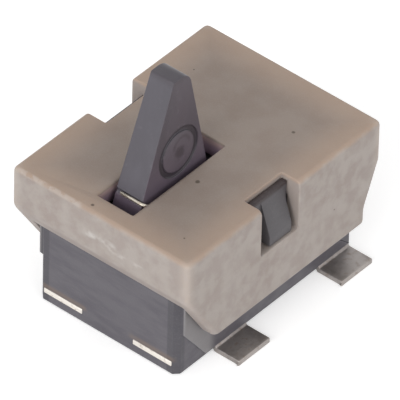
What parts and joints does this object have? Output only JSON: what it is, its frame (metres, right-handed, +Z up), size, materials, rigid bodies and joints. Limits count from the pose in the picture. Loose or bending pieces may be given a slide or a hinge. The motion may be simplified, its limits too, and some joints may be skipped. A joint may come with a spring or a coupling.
{
  "type": "detector switch",
  "caption": "Small surface-mount detector switch: a sprung lever stands in the slot of a latched moulded cover over a dark base with soldering feet at both sides.",
  "frame": {"origin": "middle of the overall footprint, on the board the four feet stand on", "axes": "+Z up out of the board, +X across the body along the lever's pivot, +Y along the body, away from the lever's end"},
  "size_m": [0.0044, 0.0052, 0.0051],
  "materials": {
    "cover_plastic": "moulded beige heat-resistant plastic, satin",
    "base_plastic": "moulded dark grey plastic, satin",
    "lever_plastic": "moulded dark grey plastic, smooth",
    "spring_wire": "drawn stainless spring wire",
    "contact_sheet": "phosphor bronze sheet, thinly plated",
    "lead_frame": "plated phosphor bronze strip, slightly tarnished"
  },
  "bodies": {
    "housing": {"cover": "cover_plastic", "base": "base_plastic", "return_spring": "spring_wire", "common_terminal": "lead_frame", "forward_terminal": "lead_frame", "reverse_terminal": "lead_frame", "support_terminal": "lead_frame"},
    "lever": {"lever": "lever_plastic", "moving_contact": "contact_sheet"}
  },
  "joints": [
    {"name": "lever_swing", "type": "hinge", "parent": "housing", "child": "lever", "pos_m": [0, -0.00096, 0.00215], "axis": [1, 0, 0], "range_deg": [-26, 28], "stiffness_Nm_per_rad": 0.0006, "deforming": ["return_spring"]}
  ]
}
